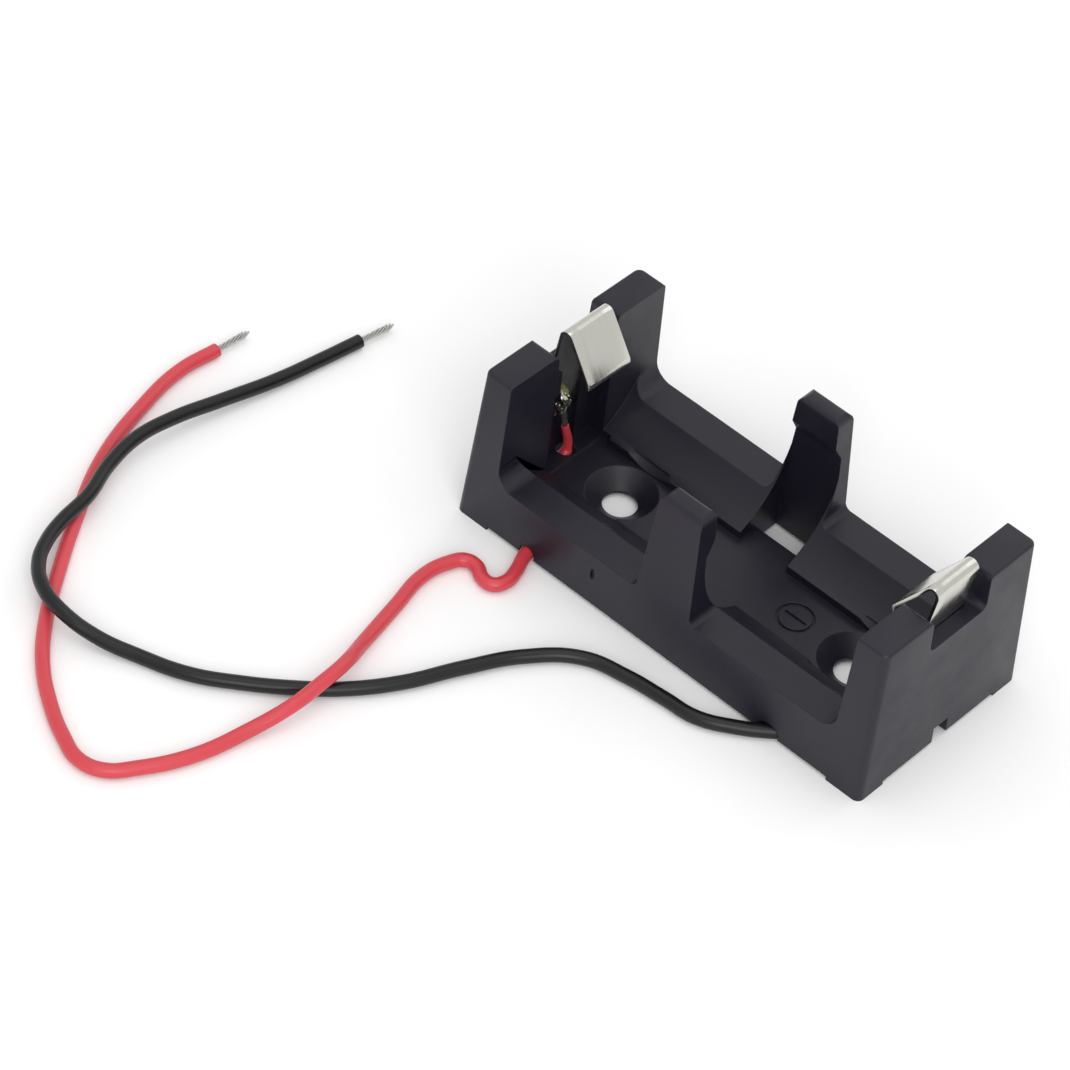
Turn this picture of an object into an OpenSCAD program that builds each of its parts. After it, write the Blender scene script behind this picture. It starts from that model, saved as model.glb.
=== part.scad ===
// Single-cell holder with two wire leads.
// One moulded housing carries a cylindrical lithium cell in an open cradle. Two folded
// leaf contacts stand in slots in the end walls, a snap arm on each side keeps the cell
// down, and two countersunk holes take screws. The leads are soldered to the contacts,
// drop through the floor and leave under the long side at -Y.
// Millimetres, +Z up. The origin is on the mounting surface, under the middle of the cradle.

/* [Cell] */
// Diameter of the cell
cell_d = 17; // [15.5:0.1:18.5]
// Length of the cell over its terminals
cell_l = 34.5; // [32:0.5:45]
// Gap between the cell and the cradle, all round
seat_clear = 0.3; // [0.1:0.05:0.6]
// Gap between the cell and the floor below it
floor_gap = 0.4; // [0.3:0.1:1]
// Room for the contact leaf at each end of the cell
contact_room = 2; // [1.6:0.1:3]

/* [Housing] */
// Height of the end walls
wall_h = 16.7; // [15.5:0.1:18]
// Height of the low side walls
rim_h = 5.6; // [4.8:0.1:7]
// Thickness of the floor
floor_t = 1.7; // [1.4:0.1:2.5]
// Height of the four corner feet
foot_h = 0.4; // [0.2:0.1:0.8]
// Length of a foot along the long side
foot_l = 3.6; // [2.5:0.1:5]
// Length of a foot along the end wall
foot_w = 3.2; // [2:0.1:5]
// Thickness of the end walls at their top
end_wall_t = 3.1; // [2.7:0.1:4]
// Thickness of the side walls at their foot
side_wall_t = 1.8; // [1.5:0.1:2.5]
// Draft of the outer faces, in degrees
draft = 2.4; // [0.5:0.1:3]
// Draft of the inner faces of the end walls, in degrees
inner_draft = 0.6; // [0.2:0.1:1.5]
// Radius of the upright outer corners
corner_r = 0.7; // [0.5:0.1:2]
// Radius of the top edges of the end walls
edge_r = 0.3; // [0.2:0.1:0.8]
// Radius of the fillet between the rim and the end walls
end_fillet_r = 1.8; // [0.5:0.1:3]
// Width of the flat channel between the two cradle rails
channel_w = 6.9; // [5:0.1:8]

/* [End notch] */
// Width of the notch in each end wall
notch_w = 7.5; // [6.5:0.1:9]
// Depth of the notch below the top of the wall
notch_d = 3.6; // [2.5:0.1:4.5]
// Radius of the corners at the bottom of the notch
notch_r = 0.7; // [0.3:0.1:1.2]
// Radius of the two edges at the mouth of the notch
notch_edge_r = 0.6; // [0.2:0.1:1]
// Width of the drain slot at the foot of each end wall
drain_w = 1.9; // [1.5:0.1:3]
// Height of the drain slot above the mounting surface
drain_h = 2; // [1.2:0.1:2.6]

/* [Snap arms] */
// Height of the snap arms
arm_h = 17; // [16:0.1:18]
// Width of an arm at its top
arm_top_w = 4.5; // [3.6:0.1:5.4]
// Width of an arm at the rim
arm_root_w = 6; // [5.6:0.1:8]
// Radius of the fillets at the root of an arm
arm_fillet_r = 0.7; // [0.3:0.1:1.2]
// Radius of the two upper corners of an arm
arm_corner_r = 0.9; // [0.3:0.1:1.5]
// Radius of the outer edge along the top of an arm
arm_edge_r = 0.9; // [0.5:0.1:1]
// How far the lip of an arm reaches in over the cell
lip_reach = 0.95; // [0.5:0.05:1.2]
// Height of the lip, below the top of the arm
lip_h = 3.1; // [2.4:0.1:3.6]
// Height of the slope under the lip
lip_slope_h = 1.6; // [0.8:0.1:2]
// Radius of the inner edge along the top of the lip
lip_edge_r = 0.5; // [0.2:0.1:0.8]
// Length along the cradle of the window beside each arm
window_l = 5.4; // [4.4:0.1:5.6]
// Width of the window, inwards from the arm
window_w = 3.1; // [2:0.1:4]

/* [Screw holes] */
// Distance between the two screw holes
hole_spacing = 26.7; // [20:0.1:28]
// Diameter of a screw hole
hole_d = 3.2; // [2.5:0.1:4]
// Diameter of the countersink at the top of the floor
sink_d = 6.6; // [5.5:0.1:7.5]
// Height of the straight part of the hole under the countersink
sink_land = 0.25; // [0.1:0.05:0.6]

/* [Pockets under the rails] */
// Wall left between the cradle and the pocket below it
shell_t = 1.4; // [1.1:0.1:1.8]
// Thickness of the outer skirt beside a pocket
skirt_t = 1.5; // [1.2:0.1:2]
// Half the length of the solid floor between the pockets of one side
web_half = 4; // [3.4:0.1:6]
// Distance from the end of a pocket to the inner face of the end wall
pocket_end = 1.2; // [0.8:0.1:3]
// Distance from the middle line to the inner side of a pocket
pocket_y = 4.7; // [4.4:0.1:5.5]

/* [Contacts] */
// Width of a contact strip
contact_w = 5.3; // [4.5:0.1:6]
// Thickness of the contact strip
contact_t = 0.3; // [0.2:0.05:0.4]
// Distance from the inner face of the end wall to the middle of the strip
contact_set = 1.6; // [1.4:0.05:1.7]
// Radius of the fold, at the middle of the strip
fold_r = 0.6; // [0.4:0.05:0.8]
// Height of a contact leg, from the floor of the notch to the fold
leg_h = 4.7; // [3:0.05:6]
// Angle of the free leaf from upright, in degrees
leaf_tilt = 33.5; // [25:0.5:45]
// Length of the free leaf
leaf_l = 4.6; // [3:0.1:5]
// Length of the curled tip of the leaf
tip_l = 0.8; // [0.4:0.1:1.5]
// Angle by which the tip of the leaf is curled back, in degrees
tip_curl = 60; // [10:1:80]
// Width of the solder tab at the foot of a contact
tab_w = 3; // [2:0.1:3.6]
// Height of the lower end of the solder tab
tab_z = 7; // [6:0.1:8]
// Depth of the slot from the notch to the shoulders of a contact
slot_d = 2.6; // [1.5:0.1:3.5]
// Gap between a contact and its slot, on each face and edge
slot_clear = 0.05; // [0.02:0.01:0.1]
// Gap between the two guide ribs in front of a contact
guide_gap = 4; // [3.4:0.1:4.4]
// Thickness of the guide ribs
guide_t = 0.6; // [0.5:0.05:0.8]
// Height of the ledge below the solder tab, above the floor
ledge_h = 0.2; // [0.2:0.1:0.8]
// Lean of the positive contact towards the cell, in degrees
positive_lean = 7; // [-10:1:8]
// Lean of the negative contact towards the cell, in degrees
negative_lean = -7; // [-10:1:8]

/* [Leads] */
// Outer diameter of a lead
lead_d = 1.3; // [1:0.05:1.4]
// Diameter of the bundle of bare strands
strand_d = 0.7; // [0.4:0.05:0.8]
// Length of the bare strands at the free end of a lead
strand_l = 3.7; // [2:0.1:8]
// Gap round a lead in the passages of the housing
lead_clear = 0.15; // [0.1:0.05:0.3]
// Height at which the insulation ends below the solder joint
strip_z = 5.5; // [4.5:0.1:5.8]
// Lean of a lead between the ledge and its solder joint, in degrees
lead_lean = 13; // [0:1:15]
// Height of a solder joint
solder_h = 2.8; // [2:0.1:3.2]
// Radius of a solder joint
solder_r = 1; // [0.95:0.05:1.2]

/* [Hidden] */
$fn = 48;
// Extra length with which a cut runs past a face
over = 1;
// Gap between the strands of a lead and the solder tab, filled by solder
strand_gap = 0.1;
// Solder above the upper end of the strands
strand_cover = 0.5;
// Extra width of the hole in the ledge, for the leaning lead
hole_room = 0.3;
// Extra width of a passage where a lead turns in it
turn_room = 0.4;
// Radius of the corner between the lip of an arm and the slope under it
lip_corner_r = 0.4;
// Heights of the floor, the cell and the notch
floor_z = foot_h + floor_t;
cell_z = floor_z + floor_gap + cell_d / 2;
notch_z = wall_h - notch_d;
shoulder_z = notch_z - slot_d;
// Cradle and outer size at the foot and at any height
seat_r = cell_d / 2 + seat_clear;
bay_half = cell_l / 2 + contact_room;
half_l = bay_half + end_wall_t + wall_h * tan(draft);
half_w = seat_r + side_wall_t;
bay_foot = bay_half - (wall_h - floor_z) * tan(inner_draft);
// Contact, solder joint and lead
contact_x = bay_half + contact_set;
tab_face = contact_x - contact_t / 2;
lead_x = tab_face - strand_d / 2 - strand_gap;
joint_z = (tab_z + shoulder_z) / 2;
passage_w = lead_d + 2 * lead_clear;
lead_z = lead_d / 2;
// Point where a lead comes up through the ledge, and its direction above it
ledge_z = floor_z + ledge_h;
lead_foot = [lead_x, 0.4, ledge_z];
lead_up = [0, -sin(lead_lean), cos(lead_lean)];

// Points of an arc that rounds the corner b of the path a, b, c with radius r
function corner_arc(a, b, c, r, n = 6) =
    let (u = (a - b) / norm(a - b),
         v = (c - b) / norm(c - b),
         half = acos(max(-1, min(1, u * v))) / 2,
         run = r / tan(half),
         mid = b + (u + v) / norm(u + v) * r / sin(half),
         p = b + u * run - mid,
         q = b + v * run - mid)
    [for (k = [0 : n])
        let (w = p * (1 - k / n) + q * (k / n))
        mid + w / norm(w) * r];

// Outline through [x, y, radius] corners, each rounded by its own radius
function rounded(pts) =
    let (n = len(pts), xy = [for (p = pts) [p[0], p[1]]])
    [for (i = [0 : n - 1])
        each pts[i][2] > 0
            ? corner_arc(xy[(i + n - 1) % n], xy[i], xy[(i + 1) % n], pts[i][2])
            : [xy[i]]];

// Offset of the corner i of an open path by half the strip's thickness
function path_dir(p, i) = (p[i + 1] - p[i]) / norm(p[i + 1] - p[i]);
function path_side(p, i) =
    let (d = path_dir(p, max(i - 1, 0)) + path_dir(p, min(i, len(p) - 2)),
         m = d / norm(d),
         s = [-m[1], m[0]],
         e = path_dir(p, min(i, len(p) - 2)))
    s / (s * [-e[1], e[0]]);
function ribbon(p, t) = concat(
    [for (i = [0 : len(p) - 1]) p[i] + path_side(p, i) * t / 2],
    [for (i = [len(p) - 1 : -1 : 0]) p[i] - path_side(p, i) * t / 2]);

// Sweep of a round section along a path in space
function unit(v) = v / norm(v);
function tangent(p, i) = unit(p[min(i + 1, len(p) - 1)] - p[max(i - 1, 0)]);
function side_of(t, prev) = unit(prev - (prev * t) * t);
function sides(p, prev, i = 0) =
    i == len(p) ? []
    : let (s = side_of(tangent(p, i), prev)) concat([s], sides(p, s, i + 1));
function ring(c, t, s, r, n) =
    [for (k = [0 : n - 1])
        let (a = 360 * (k + 0.5) / n) c + r * (cos(a) * s + sin(a) * cross(t, s))];

module tube(p, d, n = 8) {
    s = sides(p, [0, 1, 0]);
    m = len(p);
    points = [for (i = [0 : m - 1]) each ring(p[i], tangent(p, i), s[i], d / 2, n)];
    walls = [for (i = [0 : m - 2]) for (k = [0 : n - 1])
        [i * n + k, (i + 1) * n + k, (i + 1) * n + (k + 1) % n, i * n + (k + 1) % n]];
    caps = [[for (k = [0 : n - 1]) k], [for (k = [n - 1 : -1 : 0]) (m - 1) * n + k]];
    polyhedron(points, concat(walls, caps), convexity = 10);
}

// Point of a lead at the height z, between the ledge and the solder joint
function lead_point(z) = lead_foot + lead_up * (z - ledge_z) / lead_up[2];

// Round rod of diameter d from a, along the direction v
module rod(a, v, l, d) {
    u = unit(v);
    translate(a)
        rotate([0, acos(u[2]), atan2(u[1], u[0])])
            cylinder(h = l, d = d);
}

// Prism of an outline drawn in X and Z, centred on Y
module across(w) {
    rotate([90, 0, 0])
        linear_extrude(w, center = true)
            children();
}

// Prism of an outline drawn in Y and Z, centred on X
module along(l) {
    rotate([90, 0, 90])
        linear_extrude(l, center = true)
            children();
}

// The same thing at both ends, or on both sides
module both_ends() {
    children();
    mirror([1, 0, 0]) children();
}

module both_sides() {
    children();
    mirror([0, 1, 0]) children();
}

// Drafted block with rounded upright corners and a rounded top edge, which stays inside the corners
module drafted_block(h, r_top) {
    function inset(z) = z * tan(draft);
    r = max(corner_r, 1.2 * r_top);
    hull()
        for (sx = [-1, 1])
            for (sy = [-1, 1]) {
                translate([sx * (half_l - r), sy * (half_w - r), 0])
                    cylinder(h = 0.01, r = r, $fn = 32);
                for (a = [0 : 30 : 90]) {
                    z = h - r_top * (1 - sin(a));
                    c = inset(z) + r;
                    translate([sx * (half_l - c), sy * (half_w - c), z - 0.01])
                        cylinder(h = 0.01, r = r - r_top * (1 - cos(a)), $fn = 32);
                }
            }
}

// Long opening above the rim, from end wall to end wall
module rim_opening() {
    function wall_x(z) = bay_half - (wall_h - z) * tan(inner_draft);
    top = arm_h + over;
    across(2 * half_w + 2 * over)
        polygon(rounded([
            [-wall_x(rim_h), rim_h, end_fillet_r],
            [wall_x(rim_h), rim_h, end_fillet_r],
            [wall_x(top), top, 0],
            [-wall_x(top), top, 0]]));
}

// Outline of a snap arm from the side, with its fillets on the rim
module arm_outline() {
    root = arm_root_w / 2;
    tip = arm_top_w / 2;
    below = 0.5;
    polygon(rounded([
        [-root - 2 * arm_fillet_r, rim_h - below, 0],
        [root + 2 * arm_fillet_r, rim_h - below, 0],
        [root + 2 * arm_fillet_r, rim_h, 0],
        [root, rim_h, arm_fillet_r],
        [tip, arm_h, arm_corner_r],
        [-tip, arm_h, arm_corner_r],
        [-root, rim_h, arm_fillet_r],
        [-root - 2 * arm_fillet_r, rim_h, 0]]));
}

module arms() {
    intersection() {
        drafted_block(arm_h, arm_edge_r);
        across(2 * half_w + 2 * over) arm_outline();
    }
}

// Room for the cell: cradle below its axis, and the lips of the arms above it
module cell_bay() {
    lip_y = seat_r - lip_reach;
    lip_z = arm_h - lip_h;
    long = 2 * (bay_half + end_wall_t);
    intersection() {
        union() {
            intersection() {
                translate([-long / 2, 0, cell_z])
                    rotate([0, 90, 0])
                        cylinder(h = long, r = seat_r);
                translate([-long / 2, -half_w, 0])
                    cube([long, 2 * half_w, cell_z]);
            }
            translate([-long / 2, -channel_w / 2, floor_z])
                cube([long, channel_w, cell_z - floor_z]);
            along(long)
                polygon(rounded([
                    [-seat_r, cell_z, 0],
                    [seat_r, cell_z, 0],
                    [seat_r, lip_z - lip_slope_h, 0],
                    [lip_y, lip_z, lip_corner_r],
                    [lip_y, arm_h, lip_edge_r],
                    [lip_y + 2 * lip_edge_r, arm_h, 0],
                    [lip_y + 2 * lip_edge_r, arm_h + over, 0],
                    [-lip_y - 2 * lip_edge_r, arm_h + over, 0],
                    [-lip_y - 2 * lip_edge_r, arm_h, 0],
                    [-lip_y, arm_h, lip_edge_r],
                    [-lip_y, lip_z, lip_corner_r],
                    [-seat_r, lip_z - lip_slope_h, 0]]));
        }
        across(2 * half_w)
            polygon([
                [-bay_foot, floor_z],
                [bay_foot, floor_z],
                [bay_half + over * tan(inner_draft), wall_h + over],
                [-bay_half - over * tan(inner_draft), wall_h + over]]);
    }
}

// Flat floor between the arms, with the window beside each arm
module arm_windows() {
    translate([-window_l / 2, -seat_r, floor_z])
        cube([window_l, 2 * seat_r, cell_z - floor_z]);
    both_sides()
        translate([-window_l / 2, seat_r - window_w, -over])
            cube([window_l, window_w, cell_z]);
}

module screw_hole() {
    sink_h = floor_t - sink_land;
    slope = (sink_d - hole_d) / 2 / sink_h;
    translate([0, 0, -over])
        cylinder(h = foot_h + floor_t + over, d = hole_d);
    translate([0, 0, foot_h + sink_land])
        cylinder(h = sink_h + over, r1 = hole_d / 2, r2 = sink_d / 2 + over * slope);
}

// Notch of an end wall, with rounded corners below and rounded edges at its mouth
module end_notch() {
    half = notch_w / 2;
    translate([half_l - (end_wall_t + over), 0, 0])
        along(2 * (end_wall_t + over))
            polygon(rounded([
                [-half, notch_z, notch_r],
                [half, notch_z, notch_r],
                [half, wall_h, notch_edge_r],
                [half + 2 * notch_edge_r, wall_h, 0],
                [half + 2 * notch_edge_r, wall_h + over, 0],
                [-half - 2 * notch_edge_r, wall_h + over, 0],
                [-half - 2 * notch_edge_r, wall_h, 0],
                [-half, wall_h, notch_edge_r]]));
}

// Seat of a contact: a slot behind two guide ribs, and a recess for the solder joint that
// carries the notch on down the inner face of the wall to a ledge with a hole for the lead
module contact_seat() {
    slot_t = contact_t + 2 * slot_clear;
    slot_w = contact_w + 2 * slot_clear;
    slot_x = contact_x - slot_t / 2;
    inner = bay_foot - over;
    translate([slot_x, -slot_w / 2, shoulder_z])
        cube([slot_t, slot_w, slot_d + over]);
    translate([slot_x, -tab_w / 2 - slot_clear, ledge_z])
        cube([slot_t, tab_w + 2 * slot_clear, slot_d + shoulder_z - ledge_z]);
    translate([inner, -notch_w / 2, ledge_z])
        cube([slot_x - guide_t - inner, notch_w, notch_z - ledge_z + over]);
    translate([inner, -guide_gap / 2, ledge_z])
        cube([slot_x + slot_clear - inner, guide_gap, notch_z - ledge_z + over]);
    translate([inner, -notch_w / 2, ledge_z])
        cube([tab_face - inner, notch_w, shoulder_z - ledge_z]);
    translate([lead_x, lead_foot[1] - hole_room / 2, 0])
        cylinder(h = ledge_z + over, d = passage_w + hole_room);
    translate([contact_x, -drain_w / 2, -over])
        cube([half_l, drain_w, drain_h + over]);
}

// Pocket under one half of one rail
module rail_pocket() {
    far = bay_foot - pocket_end;
    difference() {
        translate([web_half, pocket_y, -over])
            cube([far - web_half, half_w - skirt_t - pocket_y, rim_h - shell_t + over]);
        translate([0, 0, cell_z])
            rotate([0, 90, 0])
                cylinder(h = far + over, r = seat_r + shell_t);
    }
}

// Passage for a lead under the end wall, from the recess to the pocket at -Y
module lead_passage() {
    top = passage_w + hole_room;
    w = passage_w + turn_room;
    side_y = half_w - skirt_t;
    turn = 2 * w;
    translate([lead_x - w / 2, -side_y, -over])
        cube([w, side_y + lead_foot[1] + passage_w / 2, top + over]);
    translate([bay_foot - pocket_end - over, -side_y, -over])
        cube([lead_x - bay_foot + pocket_end + over, turn, top + over]);
}

// Outlet through the skirt, round a lead that leaves at the given place and heading
module lead_outlet(p, heading) {
    translate([p[0], p[1], lead_z])
        rotate([0, 0, heading]) {
            rotate([0, 90, 0])
                cylinder(h = 4 * skirt_t, d = passage_w, center = true);
            translate([-2 * skirt_t, -passage_w / 2, -lead_z - over])
                cube([4 * skirt_t, passage_w, lead_z + over]);
        }
}

// Hollow below the floor that leaves only the four feet on the mounting surface
module foot_relief() {
    translate([-half_l + foot_l, -half_w - over, -over])
        cube([2 * (half_l - foot_l), 2 * (half_w + over), foot_h + over]);
    translate([-half_l - over, -half_w + foot_w, -over])
        cube([2 * (half_l + over), 2 * (half_w - foot_w), foot_h + over]);
}

module holder_body() {
    color("#2b2a32")
        difference() {
            union() {
                difference() {
                    drafted_block(wall_h, edge_r);
                    rim_opening();
                }
                arms();
            }
            cell_bay();
            arm_windows();
            for (sx = [-1, 1])
                translate([sx * hole_spacing / 2, 0, 0]) screw_hole();
            both_ends() {
                end_notch();
                contact_seat();
                lead_passage();
                both_sides() rail_pocket();
            }
            lead_outlet(red_exit, red_heading);
            lead_outlet(black_exit, black_heading);
            foot_relief();
        }
}

// Middle line of a folded contact in X and Z, from the solder tab to the curled tip
function contact_path(lean) =
    let (knee = [contact_x, notch_z],
         up = [-sin(lean), cos(lean)],
         start = 90 + lean,
         end = 270 - leaf_tilt,
         centre = knee + leg_h * up + fold_r * [-cos(lean), -sin(lean)],
         leaf_start = centre + fold_r * [sin(end), -cos(end)],
         leaf_end = leaf_start + leaf_l * [cos(end), sin(end)],
         steps = 4)
    concat(
        [[contact_x, tab_z], knee],
        [for (k = [0 : 12])
            let (a = start + (end - start) * k / 12)
            centre + fold_r * [sin(a), -cos(a)]],
        [leaf_end],
        [for (k = [1 : steps])
            leaf_end + tip_l / steps * [
                for (j = [0 : 1])
                    let (t = [for (i = [1 : k])
                        let (a = end + tip_curl * (i - 0.5) / steps) [cos(a), sin(a)][j]])
                    t * [for (i = t) 1]]]);

module contact(lean) {
    difference() {
        across(contact_w)
            polygon(ribbon(contact_path(lean), contact_t));
        both_sides()
            translate([contact_x - over, tab_w / 2, tab_z - over])
                cube([2 * over, contact_w, shoulder_z - tab_z + over]);
    }
}

module positive_contact() {
    color("#c9c8c4")
        mirror([1, 0, 0]) contact(positive_lean);
}

module negative_contact() {
    color("#c9c8c4")
        contact(negative_lean);
}

// Bare strands of a lead behind its solder joint, and at its free end
module inner_strands() {
    top = joint_z + solder_h / 2 - strand_cover;
    rod(lead_point(strip_z), lead_up, (top - strip_z) / cos(lead_lean), strand_d);
}

module free_strands(p) {
    n = len(p);
    rod(p[n - 1], p[n - 1] - p[n - 2], strand_l, strand_d);
}

// Solder joint: a drop round the strands, flat against the tab
module solder() {
    h = solder_h / 2;
    difference() {
        intersection() {
            translate([tab_face, lead_point(joint_z)[1], joint_z])
                rotate([lead_lean, 0, 0])
                rotate_extrude()
                    polygon(concat(
                        [[0, -h]],
                        [for (a = [-75 : 15 : 75])
                            [solder_r * pow(cos(a), 0.8), h * sin(a)]],
                        [[0, h]]));
            translate([tab_face - 2 * solder_r, -4 * solder_r, joint_z - 2 * h])
                cube([2 * solder_r, 8 * solder_r, 4 * h]);
        }
        inner_strands();
    }
}

module positive_solder() {
    color("#b9b6a4")
        mirror([1, 0, 0]) solder();
}

module negative_solder() {
    color("#b9b6a4")
        solder();
}

// Place and heading at which each lead leaves the housing
red_exit = [-14.9, -10.2];
red_heading = -72;
black_exit = [13.5, -10];
black_heading = 222;

// Route of the red lead, from the solder joint to the free end
red_route = [
    [-lead_x, lead_point(strip_z)[1], strip_z],
    [-lead_x, lead_point(ledge_z)[1], ledge_z],
    [-20.2, 0.1, 1.6],
    [-20.2, -0.8, 0.8],
    [-20.2, -2.2, 0.65],
    [-20.1, -5.8, 0.65],
    [-19.3, -7.3, 0.65],
    [-17.2, -7.9, 0.65],
    [-15.6, -8.4, 0.65],
    [-14.6, -11.2, 0.65],
    [-13.9, -13, 0.65],
    [-13.7, -14.4, 0.65],
    [-14.3, -15.5, 0.65],
    [-15.5, -15.5, 0.65],
    [-16.6, -14.9, 0.65],
    [-17.8, -15.1, 0.65],
    [-18.6, -16.5, 0.65],
    [-19, -19, 0.65],
    [-18.1, -23.5, 0.65],
    [-16.9, -28.5, 0.9],
    [-15.5, -32.6, 2.1],
    [-15.2, -35.7, 2.2],
    [-15.3, -38.6, 1.8],
    [-16.4, -43, 0.8],
    [-17.6, -48.1, 0.65],
    [-19.7, -52.4, 0.65],
    [-21.4, -54.6, 0.65],
    [-23.5, -55.3, 0.65],
    [-26.3, -54.5, 0.65],
    [-29.8, -52.7, 0.65],
    [-33.2, -50.3, 0.65],
    [-36.6, -46.8, 0.65],
    [-39.9, -42.3, 0.65],
    [-43.6, -36.7, 0.65],
    [-47.5, -29.8, 0.65],
    [-49.8, -22.9, 0.65],
    [-50.9, -17, 0.65],
    [-50.6, -12.8, 0.65]];

// Route of the black lead, from the solder joint to the free end
black_route = [
    [lead_x, lead_point(strip_z)[1], strip_z],
    [lead_x, lead_point(ledge_z)[1], ledge_z],
    [20.2, 0.1, 1.6],
    [20.2, -0.8, 0.8],
    [20.2, -2.2, 0.65],
    [20.1, -5.8, 0.65],
    [19.3, -7.3, 0.65],
    [17.2, -7.9, 0.65],
    [15, -8.5, 0.65],
    [13.2, -10.3, 0.65],
    [10.7, -12.3, 0.65],
    [7.8, -13.9, 0.65],
    [4.5, -14.3, 0.65],
    [0.8, -14.8, 0.65],
    [-3.2, -16, 0.65],
    [-6.7, -19.6, 0.65],
    [-9.3, -24.4, 0.65],
    [-11.6, -29.4, 0.65],
    [-14.4, -33.6, 0.65],
    [-17.2, -36.5, 0.65],
    [-20.7, -39.5, 0.65],
    [-24.3, -42, 0.65],
    [-28.6, -43.7, 0.65],
    [-32.3, -45.1, 1.1],
    [-35.8, -45.8, 2],
    [-38.8, -45.1, 2.1],
    [-41.2, -43.3, 2],
    [-42.4, -41.4, 2],
    [-43.3, -38.9, 2],
    [-44.1, -34.8, 2],
    [-45.6, -30.9, 2],
    [-46.4, -26.8, 2],
    [-46.2, -22.8, 1.8],
    [-45.3, -17.2, 1.2],
    [-44.2, -11.5, 0.8],
    [-43.5, -6.5, 0.65],
    [-42.9, -2.3, 0.65]];

module red_lead() {
    color("#d9404f")
        tube(red_route, lead_d);
}

module red_conductor() {
    color("#d5d5d2") {
        mirror([1, 0, 0]) inner_strands();
        free_strands(red_route);
    }
}

module black_lead() {
    color("#1d1f22")
        tube(black_route, lead_d);
}

module black_conductor() {
    color("#d5d5d2") {
        inner_strands();
        free_strands(black_route);
    }
}

holder_body();
positive_contact();
negative_contact();
positive_solder();
negative_solder();
red_lead();
red_conductor();
black_lead();
black_conductor();
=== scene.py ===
"""Looks of a holder for one cylindrical lithium cell, with two soldered wire leads.

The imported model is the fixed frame: metres, +Z up, the origin on the mounting surface under the
middle of the cradle. The housing, the two leaf contacts, the solder joints and the two wire leads
are each dressed by a class of their own. Sizes in the classes are in millimetres.
"""

import logging
import math
from dataclasses import dataclass, field
from enum import Enum

import bmesh
import bpy
from mathutils import Matrix, Vector, noise


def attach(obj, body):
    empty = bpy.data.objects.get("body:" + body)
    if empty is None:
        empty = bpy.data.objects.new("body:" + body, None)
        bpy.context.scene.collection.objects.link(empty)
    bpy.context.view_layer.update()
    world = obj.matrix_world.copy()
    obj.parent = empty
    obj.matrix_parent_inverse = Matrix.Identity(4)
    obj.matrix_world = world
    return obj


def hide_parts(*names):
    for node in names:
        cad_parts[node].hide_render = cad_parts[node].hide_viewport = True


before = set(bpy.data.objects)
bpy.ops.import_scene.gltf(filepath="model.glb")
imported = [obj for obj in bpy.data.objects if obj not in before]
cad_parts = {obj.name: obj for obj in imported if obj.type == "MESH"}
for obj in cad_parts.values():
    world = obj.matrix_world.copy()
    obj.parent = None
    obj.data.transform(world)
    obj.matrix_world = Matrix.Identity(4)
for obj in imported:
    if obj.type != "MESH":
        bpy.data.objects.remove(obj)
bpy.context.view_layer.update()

MM = 0.001
BODY = "root"
LOG = logging.getLogger("holder")

Point = tuple[float, float, float]
Sockets = dict[str | int, object]


class End(Enum):
    """The two ends of the holder, by the sign of X at which each stands."""

    POSITIVE = -1
    NEGATIVE = 1


class Polarity(Enum):
    """Signs sunk into the floor of the cradle, by the number of bars that each has."""

    MINUS = 1
    PLUS = 2


# ---------------------------------------------------------------------------------------------
# Small helpers
# ---------------------------------------------------------------------------------------------


def srgb(code: str) -> tuple[float, float, float, float]:
    """Turn an sRGB hex colour into the linear colour that a socket takes.

    Args:
        code: the colour, such as "#2b2a32".

    Returns:
        Linear red, green, blue and an alpha of 1.
    """
    parts = [int(code[i : i + 2], 16) / 255 for i in (1, 3, 5)]
    linear = [c / 12.92 if c <= 0.04045 else ((c + 0.055) / 1.055) ** 2.4 for c in parts]
    return (linear[0], linear[1], linear[2], 1.0)


def metres(point: Point) -> Vector:
    """Turn a point in millimetres into a vector in metres."""
    return Vector(point) * MM


def add_node(
    tree: bpy.types.NodeTree,
    kind: str,
    settings: Sockets | None = None,
    links: dict[str | int, bpy.types.NodeSocket] | None = None,
) -> bpy.types.Node:
    """Add a node with its settings and links.

    Args:
        tree: the node tree of the material or the world.
        kind: the node's class name.
        settings: input values by socket name or number, and properties of the node by name.
        links: output sockets of other nodes, by the input that each goes to.

    Returns:
        The new node.
    """
    node = tree.nodes.new(kind)
    for key, value in (settings or {}).items():
        if isinstance(key, int) or key in node.inputs:
            node.inputs[key].default_value = value
        else:
            setattr(node, key, value)
    for key, socket in (links or {}).items():
        tree.links.new(socket, node.inputs[key])
    return node


def new_piece(name: str, bm: bmesh.types.BMesh, smooth_angle: float = 35.0) -> bpy.types.Object:
    """Turn a bmesh into a piece that stands at the origin, with its place in its mesh.

    Args:
        name: name of the piece.
        bm: the shape in metres; it is freed.
        smooth_angle: edges sharper than this, in degrees, stay crisp.

    Returns:
        The new object, linked to the scene.
    """
    mesh = bpy.data.meshes.new(name)
    bm.to_mesh(mesh)
    bm.free()
    mesh.polygons.foreach_set("use_smooth", [True] * len(mesh.polygons))
    mesh.set_sharp_from_angle(angle=math.radians(smooth_angle))
    piece = bpy.data.objects.new(name, mesh)
    bpy.context.scene.collection.objects.link(piece)
    return piece


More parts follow.
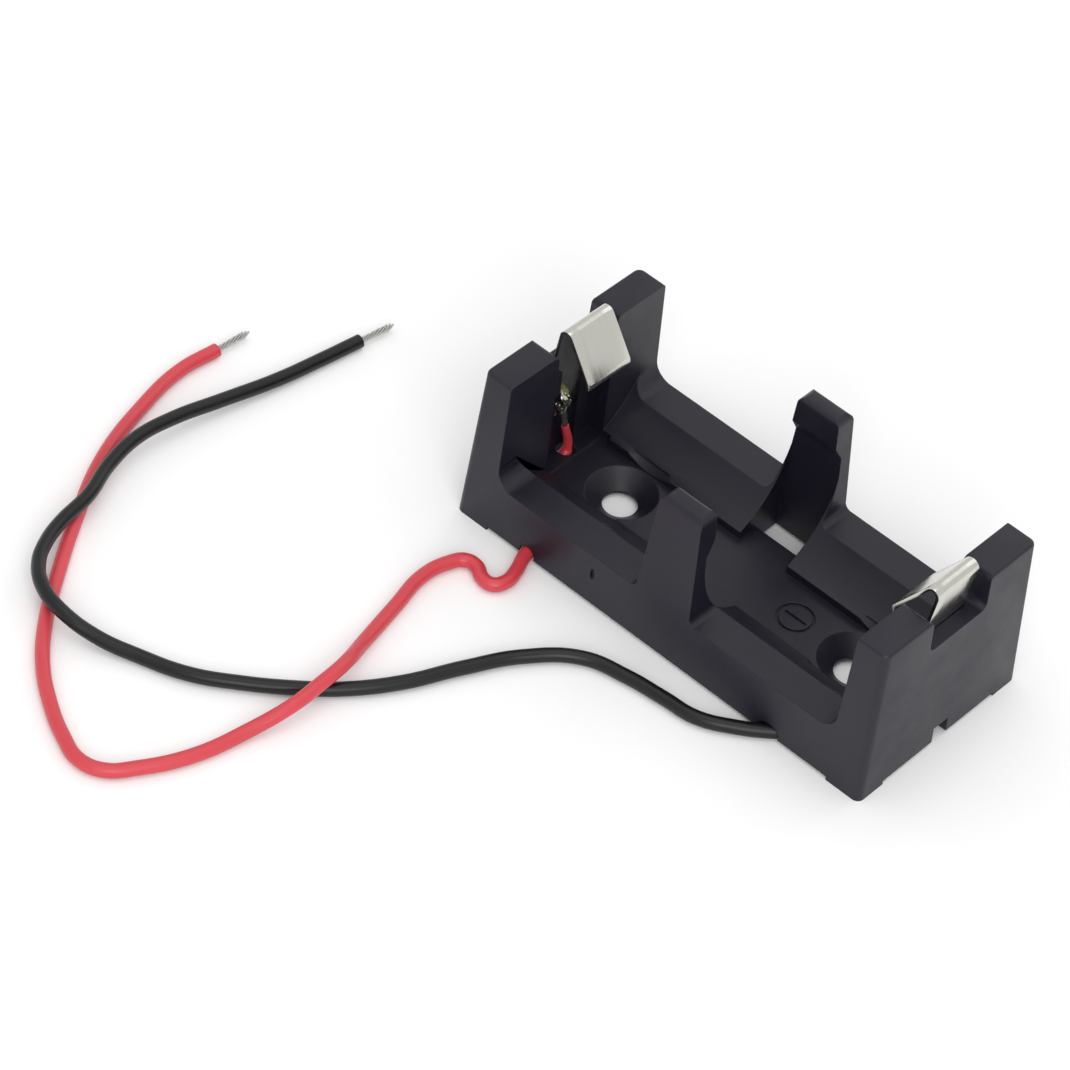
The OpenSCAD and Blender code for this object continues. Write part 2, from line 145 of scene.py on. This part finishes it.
def settle(
    piece: bpy.types.Object, material: bpy.types.Material, slot: str, *nodes: str
) -> bpy.types.Object:
    """Dress a piece, mount it on the body and let it stand for its CAD nodes.

    Args:
        piece: the finished piece.
        material: its material.
        slot: name of a material slot; not used.
        *nodes: the CAD nodes that it replaces.

    Returns:
        The same piece.
    """
    piece.data.materials.clear()
    piece.data.materials.append(material)
    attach(piece, BODY)
    if nodes:
        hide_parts(*nodes)
    LOG.info("%s stands for %s", piece.name, ", ".join(nodes) or "detail of its own")
    return piece


# ---------------------------------------------------------------------------------------------
# Finishes
# ---------------------------------------------------------------------------------------------


@dataclass(frozen=True)
class Finish:
    """A finish: the real material's name, its colour and how its surface was made.

    Every finish has noise in its gloss, so that a highlight never runs on perfectly even.
    """

    name: str
    colour: str
    second_colour: str
    metallic: float
    roughness: float
    roughness_spread: float
    ior: float | None
    patch_mm: float
    grain_mm: float
    grain_height_mm: float
    stretch: Point = (1.0, 1.0, 1.0)
    coat: float = 0.0
    coat_roughness: float = 0.1
    subsurface: float = 0.0
    edge_mm: float = 0.0

    def material(self) -> bpy.types.Material:
        """Build the material.

        Returns:
            A node material on Object coordinates, with patches of colour and gloss and a fine grain.
        """
        made = bpy.data.materials.new(self.name)
        made.use_nodes = True
        tree = made.node_tree
        tree.nodes.clear()
        place = add_node(tree, "ShaderNodeTexCoord")
        turned = add_node(
            tree, "ShaderNodeMapping", {"Scale": self.stretch}, {"Vector": place.outputs["Object"]}
        )
        patches = add_node(
            tree,
            "ShaderNodeTexNoise",
            {"Scale": 1 / (self.patch_mm * MM), "Detail": 5.0, "Roughness": 0.6},
            {"Vector": turned.outputs["Vector"]},
        )
        grain = add_node(
            tree,
            "ShaderNodeTexNoise",
            {"Scale": 1 / (self.grain_mm * MM), "Detail": 3.0, "Roughness": 0.55},
            {"Vector": turned.outputs["Vector"]},
        )
        shade = add_node(
            tree,
            "ShaderNodeMix",
            {"data_type": "RGBA", 6: srgb(self.colour), 7: srgb(self.second_colour)},
            {0: patches.outputs["Fac"]},
        )
        gloss = add_node(
            tree,
            "ShaderNodeMapRange",
            {
                "From Min": 0.3,
                "From Max": 0.7,
                "To Min": max(0.02, self.roughness - self.roughness_spread),
                "To Max": self.roughness + self.roughness_spread,
            },
            {"Value": patches.outputs["Fac"]},
        )
        relief = {"Height": grain.outputs["Fac"]}
        if self.edge_mm > 0:
            edge = add_node(tree, "ShaderNodeBevel", {"samples": 4, "Radius": self.edge_mm * MM})
            relief["Normal"] = edge.outputs["Normal"]
        bump = add_node(
            tree,
            "ShaderNodeBump",
            {"Strength": 1.0, "Distance": self.grain_height_mm * MM},
            relief,
        )
        settings: Sockets = {
            "Metallic": self.metallic,
            "Coat Weight": self.coat,
            "Coat Roughness": self.coat_roughness,
            "Subsurface Weight": self.subsurface,
            "Subsurface Scale": 0.3 * MM,
        }
        if self.ior is not None:
            settings["IOR"] = self.ior
        shader = add_node(
            tree,
            "ShaderNodeBsdfPrincipled",
            settings,
            {
                "Base Color": shade.outputs[2],
                "Roughness": gloss.outputs["Result"],
                "Normal": bump.outputs["Normal"],
            },
        )
        add_node(tree, "ShaderNodeOutputMaterial", None, {"Surface": shader.outputs["BSDF"]})
        return made


# Nylon moulded in a spark-eroded tool: near black with a cool cast, a satin gloss and a faint,
# slightly cloudy grain.
NYLON = Finish(
    name="moulded_black_nylon",
    colour="#13121e",
    second_colour="#171623",
    metallic=0.0,
    roughness=0.42,
    roughness_spread=0.06,
    ior=1.45,
    patch_mm=5.0,
    grain_mm=0.35,
    grain_height_mm=0.012,
    edge_mm=0.12,
)

# Spring steel rolled, then plated with bright nickel: a warm white metal with soft, long
# rolling lines.
NICKEL = Finish(
    name="bright_nickel_plated_spring_steel",
    colour="#d8d6ce",
    second_colour="#c9c8c2",
    metallic=1.0,
    roughness=0.19,
    roughness_spread=0.05,
    ior=None,
    patch_mm=2.5,
    grain_mm=0.5,
    grain_height_mm=0.004,
    stretch=(0.25, 2.5, 0.25),
)

# Tin-lead solder as it froze: bright and wavy.
SOLDER = Finish(
    name="bright_tin_lead_solder",
    colour="#d6d4c6",
    second_colour="#b3b19c",
    metallic=1.0,
    roughness=0.2,
    roughness_spread=0.08,
    ior=None,
    patch_mm=0.6,
    grain_mm=0.4,
    grain_height_mm=0.02,
)

# Rosin flux left on the joint: a clear yellow-brown glaze.
FLUX = Finish(
    name="rosin_flux_film",
    colour="#7c7a3a",
    second_colour="#4a4a26",
    metallic=0.0,
    roughness=0.16,
    roughness_spread=0.05,
    ior=1.52,
    patch_mm=0.8,
    grain_mm=0.3,
    grain_height_mm=0.01,
)

# Soft PVC insulation, extruded: a smooth, slightly waxy red.
RED_PVC = Finish(
    name="soft_red_pvc_insulation",
    colour="#c63641",
    second_colour="#cf434d",
    metallic=0.0,
    roughness=0.38,
    roughness_spread=0.06,
    ior=1.52,
    patch_mm=4.0,
    grain_mm=0.5,
    grain_height_mm=0.006,
    subsurface=0.15,
)

# The same insulation in black: its sheen shows as a soft pale line along the wire.
BLACK_PVC = Finish(
    name="soft_black_pvc_insulation",
    colour="#0b0c0d",
    second_colour="#121315",
    metallic=0.0,
    roughness=0.34,
    roughness_spread=0.06,
    ior=1.42,
    patch_mm=4.0,
    grain_mm=0.5,
    grain_height_mm=0.006,
)

# Fine copper strands with a tin plating: bright grey, each strand with a line of light.
TINNED = Finish(
    name="tinned_copper_strands",
    colour="#c9c8c4",
    second_colour="#a9a8a2",
    metallic=1.0,
    roughness=0.3,
    roughness_spread=0.08,
    ior=None,
    patch_mm=0.8,
    grain_mm=0.3,
    grain_height_mm=0.004,
)

# A matt white table top.
TABLE = Finish(
    name="matt_white_table",
    colour="#f4f4f4",
    second_colour="#f7f7f7",
    metallic=0.0,
    roughness=0.8,
    roughness_spread=0.05,
    ior=1.45,
    patch_mm=80.0,
    grain_mm=10.0,
    grain_height_mm=0.0,
)


# ---------------------------------------------------------------------------------------------
# Housing
# ---------------------------------------------------------------------------------------------


@dataclass
class Housing:
    """The one-piece moulded housing, with the signs and marks of its tool. Sizes in millimetres."""

    mark_x: float = 6.75
    mark_radius: float = 1.6
    mark_line: float = 0.26
    mark_depth: float = 0.2
    bar_length: float = 2.3
    smooth_angle: float = 22.0
    floor_z: float = 2.1
    dimple: Point = (-7.6, -10.35, 3.6)
    dimple_size: Point = (0.25, 0.22, 0.65)

    def ring(self, bm: bmesh.types.BMesh, x: float) -> None:
        """Add the tool that sinks the ring of a sign.

        Args:
            bm: the bmesh to add to.
            x: where the sign's centre stands along the cradle.
        """
        low = self.floor_z - self.mark_depth
        inner = self.mark_radius - self.mark_line / 2
        outer = self.mark_radius + self.mark_line / 2
        corners = [(inner, low), (outer, low), (outer, self.floor_z + 1), (inner, self.floor_z + 1)]
        verts = [bm.verts.new(metres((x + r, 0, z))) for r, z in corners]
        edges = [bm.edges.new((verts[i], verts[(i + 1) % 4])) for i in range(4)]
        bmesh.ops.spin(
            bm,
            geom=verts + edges,
            cent=metres((x, 0, 0)),
            axis=(0, 0, 1),
            angle=math.tau,
            steps=48,
            use_merge=True,
        )

    def bar(self, bm: bmesh.types.BMesh, x: float, turn: float) -> None:
        """Add the tool that sinks one bar of a sign.

        Args:
            bm: the bmesh to add to.
            x: where the sign's centre stands along the cradle.
            turn: angle of the bar from the length of the cradle, in radians.
        """
        height = self.mark_depth + 1
        place = (
            Matrix.Translation(metres((x, 0, self.floor_z - self.mark_depth + height / 2)))
            @ Matrix.Rotation(turn, 4, "Z")
            @ Matrix.Diagonal((self.bar_length * MM, self.mark_line * MM, height * MM, 1))
        )
        bmesh.ops.create_cube(bm, size=1, matrix=place)

    def cutter(self) -> list[bpy.types.Object]:
        """Make the tools that sink the two signs and the small mark on the outer wall."""
        signs = {Polarity.PLUS: -self.mark_x, Polarity.MINUS: self.mark_x}
        tools = []
        for sign, x in signs.items():
            ring = bmesh.new()
            self.ring(ring, x)
            bmesh.ops.recalc_face_normals(ring, faces=ring.faces)
            tools.append(new_piece(f"ring_tool_{sign.name.lower()}", ring))
            for k in range(sign.value):
                bar = bmesh.new()
                self.bar(bar, x, k * math.pi / 2)
                tools.append(new_piece(f"bar_tool_{sign.name.lower()}_{k}", bar))
        dot = bmesh.new()
        place = Matrix.Translation(metres(self.dimple)) @ Matrix.Diagonal(
            (*(s * MM for s in self.dimple_size), 1)
        )
        bmesh.ops.create_icosphere(dot, subdivisions=3, radius=1, matrix=place)
        tools.append(new_piece("dimple_tool", dot))
        return tools

    def build(self) -> bpy.types.Object:
        """Copy the moulding, sink its marks, keep its sharp edges crisp and dress it; the finish's
        bevel shading softens its edges.

        Returns:
            The housing, which stands for its CAD node.
        """
        bm = bmesh.new()
        bm.from_mesh(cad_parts["holder_body"].data)
        bmesh.ops.remove_doubles(bm, verts=bm.verts, dist=0.002 * MM)
        bmesh.ops.dissolve_limit(
            bm, angle_limit=math.radians(0.4), verts=bm.verts, edges=bm.edges
        )
        housing = new_piece("housing", bm)
        tools = self.cutter()
        for tool in tools:
            cut = housing.modifiers.new(tool.name, "BOOLEAN")
            cut.operation = "DIFFERENCE"
            cut.solver = "EXACT"
            cut.object = tool
        graph = bpy.context.evaluated_depsgraph_get()
        carved = bpy.data.meshes.new_from_object(housing.evaluated_get(graph))
        housing.modifiers.clear()
        housing.data = carved
        for tool in tools:
            bpy.data.objects.remove(tool)
        bm = bmesh.new()
        bm.from_mesh(carved)
        bmesh.ops.triangulate(bm, faces=bm.faces, ngon_method="BEAUTY")
        for edge in bm.edges:
            edge.smooth = edge.calc_face_angle(math.pi) < math.radians(self.smooth_angle)
        for face in bm.faces:
            face.smooth = True
        bm.to_mesh(carved)
        bm.free()
        return settle(housing, NYLON.material(), "housing_plastic", "holder_body")


# ---------------------------------------------------------------------------------------------
# Contacts
# ---------------------------------------------------------------------------------------------


@dataclass
class LeafContact:
    """A folded leaf contact of spring strip, from its solder tab to its curled tip."""

    end: End
    lean: float
    leaf_length: float
    leg_height: float = 4.7
    width: float = 5.3
    thickness: float = 0.3
    tab_width: float = 3.0
    tab_z: float = 7.0
    shoulder_z: float = 10.5
    knee_z: float = 13.1
    strip_x: float = 20.85
    fold_radius: float = 0.6
    leaf_tilt: float = 33.5
    tip_length: float = 0.8
    tip_curl: float = 60.0
    corner_radius: float = 0.55
    edge_width: float = 0.07

    def grow(self, bm: bmesh.types.BMesh, row: list[bmesh.types.BMEdge], step: Vector) -> list:
        """Extrude a row of edges.

        Args:
            bm: the bmesh of the strip.
            row: the edges across the strip.
            step: how far the new row is from the old one, in millimetres.

        Returns:
            The edges of the new row.
        """
        made = bmesh.ops.extrude_edge_only(bm, edges=row)["geom"]
        verts = [g for g in made if isinstance(g, bmesh.types.BMVert)]
        bmesh.ops.translate(bm, verts=verts, vec=step * MM)
        return [g for g in made if isinstance(g, bmesh.types.BMEdge)]

    def bend(
        self, bm: bmesh.types.BMesh, row: list, centre: Vector, angle: float, steps: int
    ) -> list:
        """Spin a row of edges about a line across the strip.

        Args:
            bm: the bmesh of the strip.
            row: the edges across the strip.
            centre: a point of the line, in millimetres.
            angle: the turn in radians, towards the cell.
            steps: rows of faces in the bend.

        Returns:
            The edges of the last row.
        """
        verts = list({v for e in row for v in e.verts})
        made = bmesh.ops.spin(
            bm,
            geom=verts + row,
            cent=centre * MM,
            axis=(0, -self.end.value, 0),
            angle=angle,
            steps=steps,
        )["geom_last"]
        return [g for g in made if isinstance(g, bmesh.types.BMEdge)]

    def build(self) -> bpy.types.Object:
        """Fold the strip, round its tip and dress it.

        Returns:
            The contact, which stands for its CAD node.
        """
        side = self.end.value
        bm = bmesh.new()
        ys = (-self.width / 2, -self.tab_width / 2, self.tab_width / 2, self.width / 2)
        verts = [bm.verts.new(metres((side * self.strip_x, y, self.shoulder_z))) for y in ys]
        row = [bm.edges.new(pair) for pair in zip(verts, verts[1:])]
        self.grow(bm, [row[1]], Vector((0, 0, self.tab_z - self.shoulder_z)))
        row = self.grow(bm, row, Vector((0, 0, self.knee_z - self.shoulder_z)))
        lean = math.radians(self.lean)
        up = Vector((-side * math.sin(lean), 0, math.cos(lean)))
        row = self.grow(bm, row, up * self.leg_height)
        knee = Vector((side * self.strip_x, 0, self.knee_z))
        towards = Vector((-side * math.cos(lean), 0, -math.sin(lean)))
        centre = knee + up * self.leg_height + towards * self.fold_radius
        turn = math.radians(180 - self.leaf_tilt) - lean
        row = self.bend(bm, row, centre, turn, 14)
        fall = math.radians(self.leaf_tilt)
        down = Vector((-side * math.sin(fall), 0, -math.cos(fall)))
        row = self.grow(bm, row, down * self.leaf_length)
        curl = math.radians(self.tip_curl)
        tip_radius = self.tip_length / curl
        middle = sum((v.co for e in row for v in e.verts), Vector()) / (2 * len(row) * MM)
        inward = Vector((side * math.cos(fall), 0, -math.sin(fall)))
        row = self.bend(bm, row, middle + inward * tip_radius, curl, 6)
        ends = [v for v in {v for e in row for v in e.verts} if len(v.link_edges) == 2]
        bmesh.ops.bevel(
            bm,
            geom=ends,
            offset=self.corner_radius * MM,
            segments=5,
            profile=0.5,
            affect="VERTICES",
            material=-1,
            clamp_overlap=True,
        )
        bmesh.ops.recalc_face_normals(bm, faces=bm.faces)
        contact = new_piece(f"{self.end.name.lower()}_leaf", bm)
        wall = contact.modifiers.new("strip", "SOLIDIFY")
        wall.thickness = self.thickness * MM
        wall.offset = 0
        broken = contact.modifiers.new("broken_edges", "BEVEL")
        broken.width = self.edge_width * MM
        broken.segments = 2
        broken.limit_method = "ANGLE"
        broken.angle_limit = math.radians(50)
        node = f"{self.end.name.lower()}_contact"
        return settle(contact, NICKEL.material(), "contact_metal", node)


# ---------------------------------------------------------------------------------------------
# Solder joints
# ---------------------------------------------------------------------------------------------


@dataclass
class SolderJoint:
    """The drop of solder between a lead's strands and the tab of a contact."""

    end: End
    centre: Point = (20.7, -1.09, 8.75)
    radii: Point = (0.95, 0.95, 1.4)
    roughness: float = 0.16
    lean: float = 13.0

    def build(self) -> list[bpy.types.Object]:
        """Shape the drop and the flux round it, and dress both.

        Returns:
            The solder, which stands for its CAD node, and its film of flux.
        """
        name = self.end.name.lower()
        side = self.end.value
        made = []
        kinds = (
            ("solder", 1.0, SOLDER, (0.0, 0.0, 0.0)),
            ("flux", 0.72, FLUX, (0.1, 0.15, 0.65)),
        )
        for kind, share, finish, shift in kinds:
            bm = bmesh.new()
            bmesh.ops.create_icosphere(bm, subdivisions=5, radius=1)
            seed = Vector((3.1 * side, 7.7, 1.3 * share))
            lean = Matrix.Rotation(math.radians(self.lean), 4, "X")
            for v in bm.verts:
                lump = noise.fractal(v.co * 1.1 + seed, 1.0, 2.0, 2)
                v.co *= 1 + self.roughness * lump * 2
                v.co = Vector(c * r * share for c, r in zip(v.co, self.radii))
                v.co = lean @ v.co + Vector(self.centre) + Vector(shift)
                v.co.x = min(v.co.x, self.centre[0]) * side
                v.co *= MM
            if side < 0:
                bmesh.ops.reverse_faces(bm, faces=bm.faces)
            piece = new_piece(f"{name}_{kind}_drop", bm, 60.0)
            nodes = (f"{name}_solder",) if kind == "solder" else ()
            made.append(settle(piece, finish.material(), "solder", *nodes))
        return made


# ---------------------------------------------------------------------------------------------
# Leads
# ---------------------------------------------------------------------------------------------


@dataclass
class Lead:
    """An insulated wire lead, its strands under the solder and its bare, twisted far end."""

    name: str
    end: End
    finish: Finish
    slot: str
    outlet: Point
    route: tuple[Point, ...]
    diameter: float = 1.3
    strand_diameter: float = 0.17
    strand_count: int = 7
    twist_pitch: float = 3.4
    bundle_radius: float = 0.2
    bare_length: float = 3.7
    joint_top: Point = (20.25, -1.25, 9.6)
    necking: tuple[float, ...] = (0.55, 0.7, 1.0)

    def insulation(self) -> bpy.types.Object:
        """Lay the insulated wire along its route as one smooth curve.

        Returns:
            A curve object with one open spline.
        """
        curve = bpy.data.curves.new(self.name, "CURVE")
        curve.dimensions = "3D"
        curve.bevel_depth = self.diameter / 2 * MM
        curve.bevel_resolution = 6
        curve.resolution_u = 8
        curve.use_fill_caps = True
        spline = curve.splines.new("BEZIER")
        spline.bezier_points.add(len(self.route) - 1)
        for i, (knot, point) in enumerate(zip(spline.bezier_points, self.route)):
            knot.co = metres(point)
            knot.radius = self.necking[i] if i < len(self.necking) else 1.0
            knot.handle_left_type = knot.handle_right_type = "AUTO"
        piece = bpy.data.objects.new(self.name, curve)
        bpy.context.scene.collection.objects.link(piece)
        return piece

    def strands(
        self, name: str, start: Vector, heading: Vector, length: float, flare: float
    ) -> bpy.types.Object:
        """Twist a bundle of strands.

        Args:
            name: name of the piece.
            start: where the bundle starts, in millimetres.
            heading: its direction.
            length: its length in millimetres.
            flare: how far the strands spread at the end, in millimetres.

        Returns:
            A curve object with one spline for each strand.
        """
        curve = bpy.data.curves.new(name, "CURVE")
        curve.dimensions = "3D"
        curve.bevel_depth = self.strand_diameter / 2 * MM
        curve.bevel_resolution = 3
        curve.resolution_u = 4
        curve.use_fill_caps = True
        forward = heading.normalized()
        across = forward.cross(Vector((0, 0, 1))).normalized()
        above = across.cross(forward)
        steps = 14
        for k in range(self.strand_count):
            reach = length * (1 - 0.07 * (k % 3))
            spline = curve.splines.new("BEZIER")
            spline.bezier_points.add(steps)
            for i, knot in enumerate(spline.bezier_points):
                t = i / steps
                run = t * reach
                angle = math.tau * (k / (self.strand_count - 1) + run / self.twist_pitch)
                radius = 0.0 if k == 0 else self.bundle_radius
                radius += flare * t**3 * (0.4 + 0.6 * ((k * 5) % 7) / 6)
                place = (
                    start
                    + forward * run
                    + across * (radius * math.cos(angle))
                    + above * (radius * math.sin(angle))
                )
                knot.co = place * MM
                knot.handle_left_type = knot.handle_right_type = "AUTO"
        piece = bpy.data.objects.new(name, curve)
        bpy.context.scene.collection.objects.link(piece)
        return piece

    def build(self) -> list[bpy.types.Object]:
        """Returns:
            The insulated wire, its bare far end and its strands at the solder joint.
        """
        line = [Vector(p) for p in self.route]
        wire = settle(self.insulation(), self.finish.material(), self.slot, f"{self.name}_lead")
        tinned = TINNED.material()
        heading = (line[-1] - line[-2]).normalized()
        bare = self.strands(
            f"{self.name}_bare_end", line[-1] - heading * 0.3, heading, self.bare_length + 0.3, 0.12
        )
        settle(bare, tinned, "tinned_strands", f"{self.name}_conductor")
        top = Vector(self.joint_top)
        top.x *= self.end.value
        rise = top - line[0]
        inner = self.strands(f"{self.name}_joint_strands", line[0], rise, rise.length, 0.0)
        settle(inner, tinned, "tinned_strands")
        return [wire, bare, inner]


RED_ROUTE: tuple[Point, ...] = (
    (-20.25, -0.339, 5.5),
    (-20.25, 0.4, 2.3),
    (-20.2, 0.1, 1.6),
    (-20.2, -0.8, 0.8),
    (-20.2, -2.2, 0.65),
    (-20.1, -5.8, 0.65),
    (-19.3, -7.3, 0.65),
    (-17.2, -7.9, 0.65),
    (-15.6, -8.4, 0.65),
    (-14.6, -11.2, 0.65),
    (-13.9, -13, 0.65),
    (-13.7, -14.4, 0.65),
    (-14.3, -15.5, 0.65),
    (-15.5, -15.5, 0.65),
    (-16.6, -14.9, 0.65),
    (-17.8, -15.1, 0.65),
    (-18.6, -16.5, 0.65),
    (-19, -19, 0.65),
    (-18.1, -23.5, 0.65),
    (-16.9, -28.5, 0.9),
    (-15.5, -32.6, 2.1),
    (-15.2, -35.7, 2.2),
    (-15.3, -38.6, 1.8),
    (-16.4, -43, 0.8),
    (-17.6, -48.1, 0.65),
    (-19.7, -52.4, 0.65),
    (-21.4, -54.6, 0.65),
    (-23.5, -55.3, 0.65),
    (-26.3, -54.5, 0.65),
    (-29.8, -52.7, 0.65),
    (-33.2, -50.3, 0.65),
    (-36.6, -46.8, 0.65),
    (-39.9, -42.3, 0.65),
    (-43.6, -36.7, 0.65),
    (-47.5, -29.8, 0.65),
    (-49.8, -22.9, 0.65),
    (-50.9, -17, 0.65),
    (-50.6, -12.8, 0.65),
)

BLACK_ROUTE: tuple[Point, ...] = (
    (20.25, -0.339, 5.5),
    (20.25, 0.4, 2.3),
    (20.2, 0.1, 1.6),
    (20.2, -0.8, 0.8),
    (20.2, -2.2, 0.65),
    (20.1, -5.8, 0.65),
    (19.3, -7.3, 0.65),
    (17.2, -7.9, 0.65),
    (15, -8.5, 0.65),
    (13.2, -10.3, 0.65),
    (10.7, -12.3, 0.65),
    (7.8, -13.9, 0.65),
    (4.5, -14.3, 0.65),
    (0.8, -14.8, 0.65),
    (-3.2, -16, 0.65),
    (-6.7, -19.6, 0.65),
    (-9.3, -24.4, 0.65),
    (-11.6, -29.4, 0.65),
    (-14.4, -33.6, 0.65),
    (-17.2, -36.5, 0.65),
    (-20.7, -39.5, 0.65),
    (-24.3, -42, 0.65),
    (-28.6, -43.7, 0.65),
    (-32.3, -45.1, 1.1),
    (-35.8, -45.8, 2),
    (-38.8, -45.1, 2.1),
    (-41.2, -43.3, 2),
    (-42.4, -41.4, 2),
    (-43.3, -38.9, 2),
    (-44.1, -34.8, 2),
    (-45.6, -30.9, 2),
    (-46.4, -26.8, 2),
    (-46.2, -22.8, 1.8),
    (-45.3, -17.2, 1.2),
    (-44.2, -11.5, 0.8),
    (-43.5, -6.5, 0.65),
    (-42.9, -2.3, 0.65),
)


# ---------------------------------------------------------------------------------------------
# Studio
# ---------------------------------------------------------------------------------------------


@dataclass
class Softbox:
    """A square soft light that looks at the holder. Place and size in metres, power in watts."""

    name: str
    place: Point
    size: float
    power: float

    def build(self) -> bpy.types.Object:
        """Hang the light and turn it towards the holder."""
        light = bpy.data.lights.new(self.name, "AREA")
        light.shape = "SQUARE"
        light.size = self.size
        light.energy = self.power
        lamp = bpy.data.objects.new(self.name, light)
        lamp.location = self.place
        lamp.rotation_euler = (-Vector(self.place)).to_track_quat("-Z", "Y").to_euler()
        bpy.context.scene.collection.objects.link(lamp)
        return lamp


@dataclass
class Studio:
    """A plain white table, soft light and the camera. Angles in degrees, lengths in millimetres."""

    azimuth: float = 36.88
    elevation: float = 45.512
    roll: float = 8.081
    distance: float = 406.124
    centre_x: float = -17.136
    centre_y: float = 4.902
    lens: float = 158.035
    surroundings: float = 0.8
    softboxes: list[Softbox] = field(
        default_factory=lambda: [
            Softbox("front_softbox", (0.52, -0.52, 0.52), 0.6, 3.4),
            Softbox("top_softbox", (0.0, 0.0, 0.9), 0.6, 1.1),
            Softbox("back_softbox", (0.0, 0.74, 0.52), 0.6, 0.7),
        ]
    )

    def camera(self) -> bpy.types.Object:
        """Set the camera up and make it the scene's camera."""
        az, el, roll = (math.radians(a) for a in (self.azimuth, self.elevation, self.roll))
        back = Vector(
            (math.sin(az) * math.cos(el), -math.cos(az) * math.cos(el), math.sin(el))
        )
        right = Vector((math.cos(az), math.sin(az), 0))
        up = back.cross(right)
        across = math.cos(roll) * right + math.sin(roll) * up
        above = -math.sin(roll) * right + math.cos(roll) * up
        place = across * self.centre_x + above * self.centre_y + back * self.distance
        made = bpy.data.objects.new("camera", bpy.data.cameras.new("camera"))
        made.data.lens = self.lens
        made.data.sensor_width = 36
        made.data.clip_start = 0.01
        turn = Matrix((across, above, back)).transposed().to_4x4()
        made.matrix_world = Matrix.Translation(place * MM) @ turn
        bpy.context.scene.collection.objects.link(made)
        bpy.context.scene.camera = made
        return made

    def table(self) -> bpy.types.Object:
        """Lay the table top at the mounting surface."""
        bm = bmesh.new()
        bmesh.ops.create_grid(bm, x_segments=1, y_segments=1, size=3)
        top = new_piece("table_top", bm)
        top.data.materials.append(TABLE.material())
        return top

    def build(self) -> None:
        """Set up the camera, the table, the surroundings and the lights."""
        self.camera()
        self.table()
        world = bpy.data.worlds.new("white_room")
        world.use_nodes = True
        world.node_tree.nodes.clear()
        glow = add_node(
            world.node_tree,
            "ShaderNodeBackground",
            {"Color": srgb("#ffffff"), "Strength": self.surroundings},
        )
        add_node(
            world.node_tree,
            "ShaderNodeOutputWorld",
            None,
            {"Surface": glow.outputs["Background"]},
        )
        bpy.context.scene.world = world
        bpy.context.scene.view_settings.view_transform = "Standard"
        for softbox in self.softboxes:
            softbox.build()
        LOG.info("studio: camera, table and %d softboxes", len(self.softboxes))


def main() -> None:
    """Build every part of the holder and its studio."""
    logging.basicConfig(level=logging.INFO, format="%(name)s: %(message)s")
    Studio().build()
    Lead("red", End.POSITIVE, RED_PVC, "red_insulation", (-14.9, -10.2, 0.65), RED_ROUTE).build()
    Lead(
        "black", End.NEGATIVE, BLACK_PVC, "black_insulation", (13.5, -10.0, 0.65), BLACK_ROUTE
    ).build()
    Housing().build()
    LeafContact(End.POSITIVE, lean=7.0, leaf_length=4.3).build()
    LeafContact(End.NEGATIVE, lean=-7.0, leaf_length=4.9).build()
    SolderJoint(End.POSITIVE).build()
    SolderJoint(End.NEGATIVE).build()


if __name__ == "__main__":
    main()
